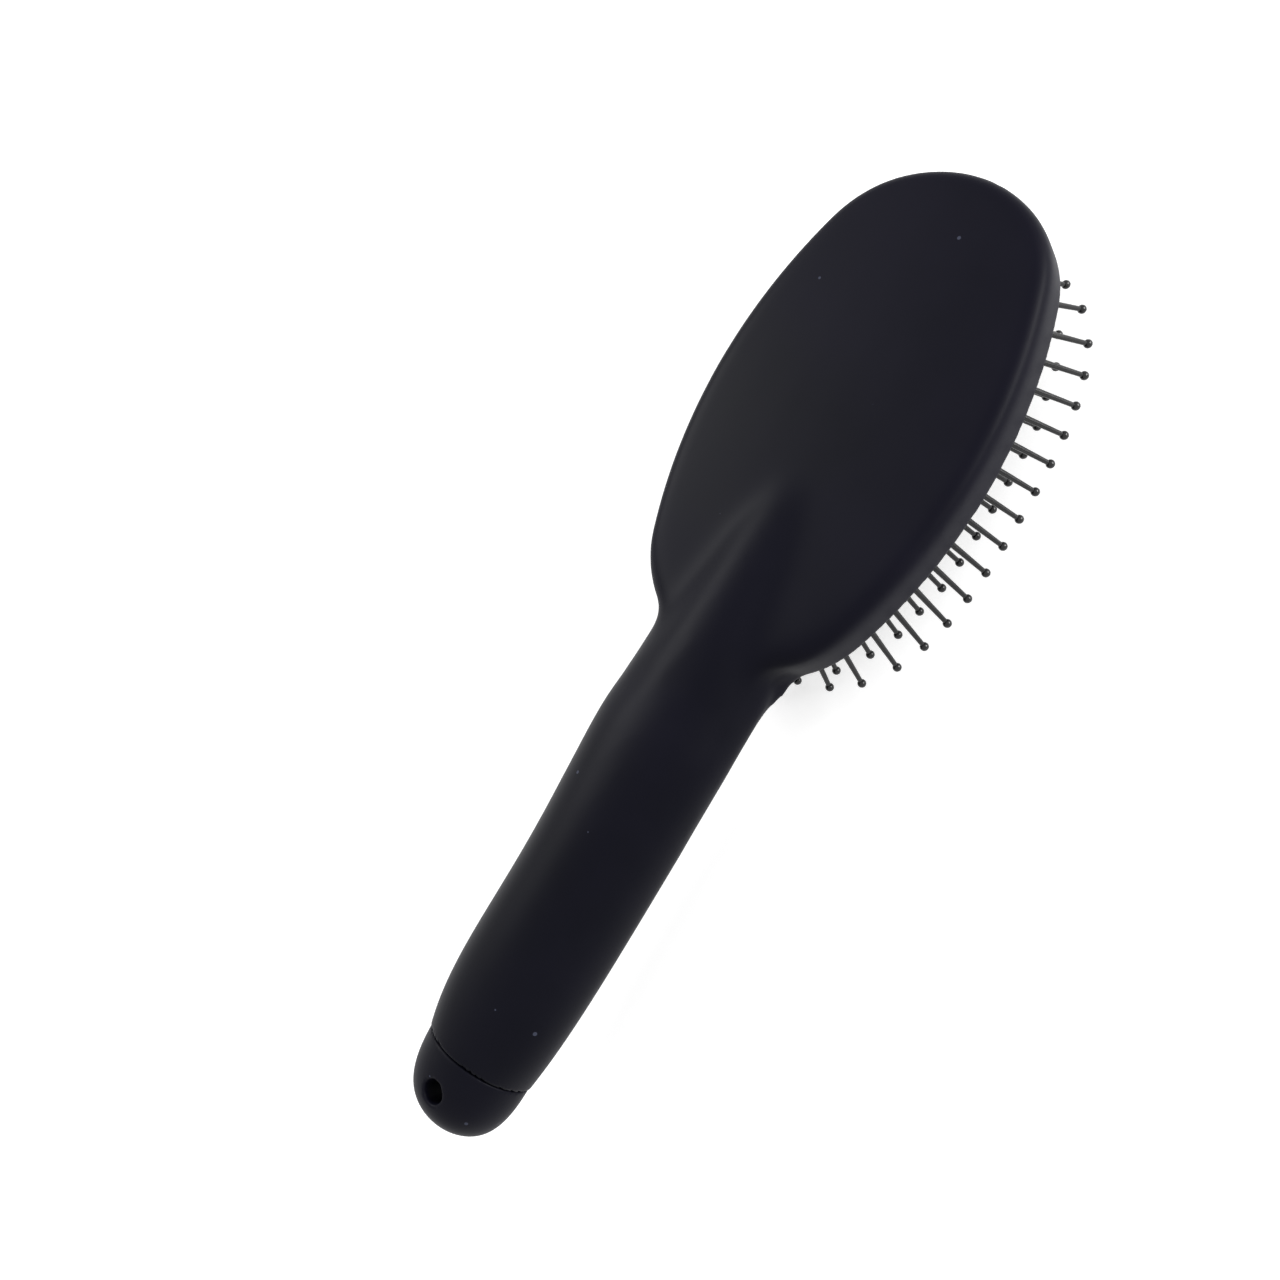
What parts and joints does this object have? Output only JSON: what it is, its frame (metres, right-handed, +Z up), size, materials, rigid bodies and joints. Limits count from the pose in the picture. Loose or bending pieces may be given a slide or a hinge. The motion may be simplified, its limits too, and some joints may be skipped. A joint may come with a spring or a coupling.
{
  "type": "cushion hair brush",
  "caption": "Oval cushion hair brush: a one-piece hollow shell with a grip, an air-cushion pad and rows of ball-tipped pins that lean and sink when pressed.",
  "frame": {"origin": "under the middle of the brush, on the plane that the lowest pin tips touch, on the mirror plane", "axes": "+X along the brush towards the tip of the head, +Z up from the pin tips to the back of the head, Y across the brush"},
  "size_m": [0.24, 0.0796, 0.0385],
  "materials": {
    "soft_touch_shell": "matt soft-touch lacquer over moulded plastic, near black with a faint blue cast",
    "cushion_rubber": "matt black moulded rubber",
    "pin_plastic": "semi-gloss dark grey moulded nylon"
  },
  "bodies": {
    "root": {"brush_body": "soft_touch_shell", "end_cap": "soft_touch_shell"},
    "cushion": {"cushion_pad": "cushion_rubber"},
    "pin_row_01": {"pin_row_01": "pin_plastic"},
    "pin_row_02": {"pin_row_02": "pin_plastic"},
    "pin_row_03": {"pin_row_03": "pin_plastic"},
    "pin_row_04": {"pin_row_04": "pin_plastic"},
    "pin_row_05": {"pin_row_05": "pin_plastic"},
    "pin_row_06": {"pin_row_06": "pin_plastic"},
    "pin_row_07": {"pin_row_07": "pin_plastic"},
    "pin_row_08": {"pin_row_08": "pin_plastic"},
    "pin_row_09": {"pin_row_09": "pin_plastic"},
    "pin_row_10": {"pin_row_10": "pin_plastic"},
    "pin_row_11": {"pin_row_11": "pin_plastic"},
    "pin_row_12": {"pin_row_12": "pin_plastic"},
    "pin_row_13": {"pin_row_13": "pin_plastic"},
    "pin_row_14": {"pin_row_14": "pin_plastic"},
    "pin_row_15": {"pin_row_15": "pin_plastic"},
    "pin_row_16": {"pin_row_16": "pin_plastic"},
    "pin_row_17": {"pin_row_17": "pin_plastic"}
  },
  "joints": [
    {"name": "cushion_press", "type": "slide", "parent": "root", "child": "cushion", "axis": [0, 0, 1], "range_m": [0, 0.002], "stiffness_N_per_m": 8000, "deforming": ["cushion_pad"]},
    {"name": "pin_row_01_lean", "type": "hinge", "parent": "cushion", "child": "pin_row_01", "pos_m": [0.01465, 0, 0.0184], "axis": [0, 1, 0], "range_deg": [-7, 7], "stiffness_Nm_per_rad": 0.18},
    {"name": "pin_row_02_lean", "type": "hinge", "parent": "cushion", "child": "pin_row_02", "pos_m": [0.0195, 0, 0.0183], "axis": [0, 1, 0], "range_deg": [-7, 7], "stiffness_Nm_per_rad": 0.24},
    {"name": "pin_row_03_lean", "type": "hinge", "parent": "cushion", "child": "pin_row_03", "pos_m": [0.02543, 0, 0.01818], "axis": [0, 1, 0], "range_deg": [-7, 7], "stiffness_Nm_per_rad": 0.27},
    {"name": "pin_row_04_lean", "type": "hinge", "parent": "cushion", "child": "pin_row_04", "pos_m": [0.03136, 0, 0.01804], "axis": [0, 1, 0], "range_deg": [-7, 7], "stiffness_Nm_per_rad": 0.3},
    {"name": "pin_row_05_lean", "type": "hinge", "parent": "cushion", "child": "pin_row_05", "pos_m": [0.03729, 0, 0.01788], "axis": [0, 1, 0], "range_deg": [-7, 7], "stiffness_Nm_per_rad": 0.3},
    {"name": "pin_row_06_lean", "type": "hinge", "parent": "cushion", "child": "pin_row_06", "pos_m": [0.04321, 0, 0.01771], "axis": [0, 1, 0], "range_deg": [-7, 7], "stiffness_Nm_per_rad": 0.33},
    {"name": "pin_row_07_lean", "type": "hinge", "parent": "cushion", "child": "pin_row_07", "pos_m": [0.04914, 0, 0.01759], "axis": [0, 1, 0], "range_deg": [-7, 7], "stiffness_Nm_per_rad": 0.33},
    {"name": "pin_row_08_lean", "type": "hinge", "parent": "cushion", "child": "pin_row_08", "pos_m": [0.05507, 0, 0.0175], "axis": [0, 1, 0], "range_deg": [-7, 7], "stiffness_Nm_per_rad": 0.33},
    {"name": "pin_row_09_lean", "type": "hinge", "parent": "cushion", "child": "pin_row_09", "pos_m": [0.061, 0, 0.01747], "axis": [0, 1, 0], "range_deg": [-7, 7], "stiffness_Nm_per_rad": 0.33},
    {"name": "pin_row_10_lean", "type": "hinge", "parent": "cushion", "child": "pin_row_10", "pos_m": [0.06693, 0, 0.0175], "axis": [0, 1, 0], "range_deg": [-7, 7], "stiffness_Nm_per_rad": 0.33},
    {"name": "pin_row_11_lean", "type": "hinge", "parent": "cushion", "child": "pin_row_11", "pos_m": [0.07286, 0, 0.01759], "axis": [0, 1, 0], "range_deg": [-7, 7], "stiffness_Nm_per_rad": 0.33},
    {"name": "pin_row_12_lean", "type": "hinge", "parent": "cushion", "child": "pin_row_12", "pos_m": [0.07879, 0, 0.01771], "axis": [0, 1, 0], "range_deg": [-7, 7], "stiffness_Nm_per_rad": 0.33},
    {"name": "pin_row_13_lean", "type": "hinge", "parent": "cushion", "child": "pin_row_13", "pos_m": [0.08471, 0, 0.01788], "axis": [0, 1, 0], "range_deg": [-7, 7], "stiffness_Nm_per_rad": 0.3},
    {"name": "pin_row_14_lean", "type": "hinge", "parent": "cushion", "child": "pin_row_14", "pos_m": [0.09064, 0, 0.01804], "axis": [0, 1, 0], "range_deg": [-7, 7], "stiffness_Nm_per_rad": 0.3},
    {"name": "pin_row_15_lean", "type": "hinge", "parent": "cushion", "child": "pin_row_15", "pos_m": [0.09657, 0, 0.01818], "axis": [0, 1, 0], "range_deg": [-7, 7], "stiffness_Nm_per_rad": 0.27},
    {"name": "pin_row_16_lean", "type": "hinge", "parent": "cushion", "child": "pin_row_16", "pos_m": [0.1025, 0, 0.0183], "axis": [0, 1, 0], "range_deg": [-7, 7], "stiffness_Nm_per_rad": 0.24},
    {"name": "pin_row_17_lean", "type": "hinge", "parent": "cushion", "child": "pin_row_17", "pos_m": [0.10735, 0, 0.0184], "axis": [0, 1, 0], "range_deg": [-7, 7], "stiffness_Nm_per_rad": 0.18}
  ]
}
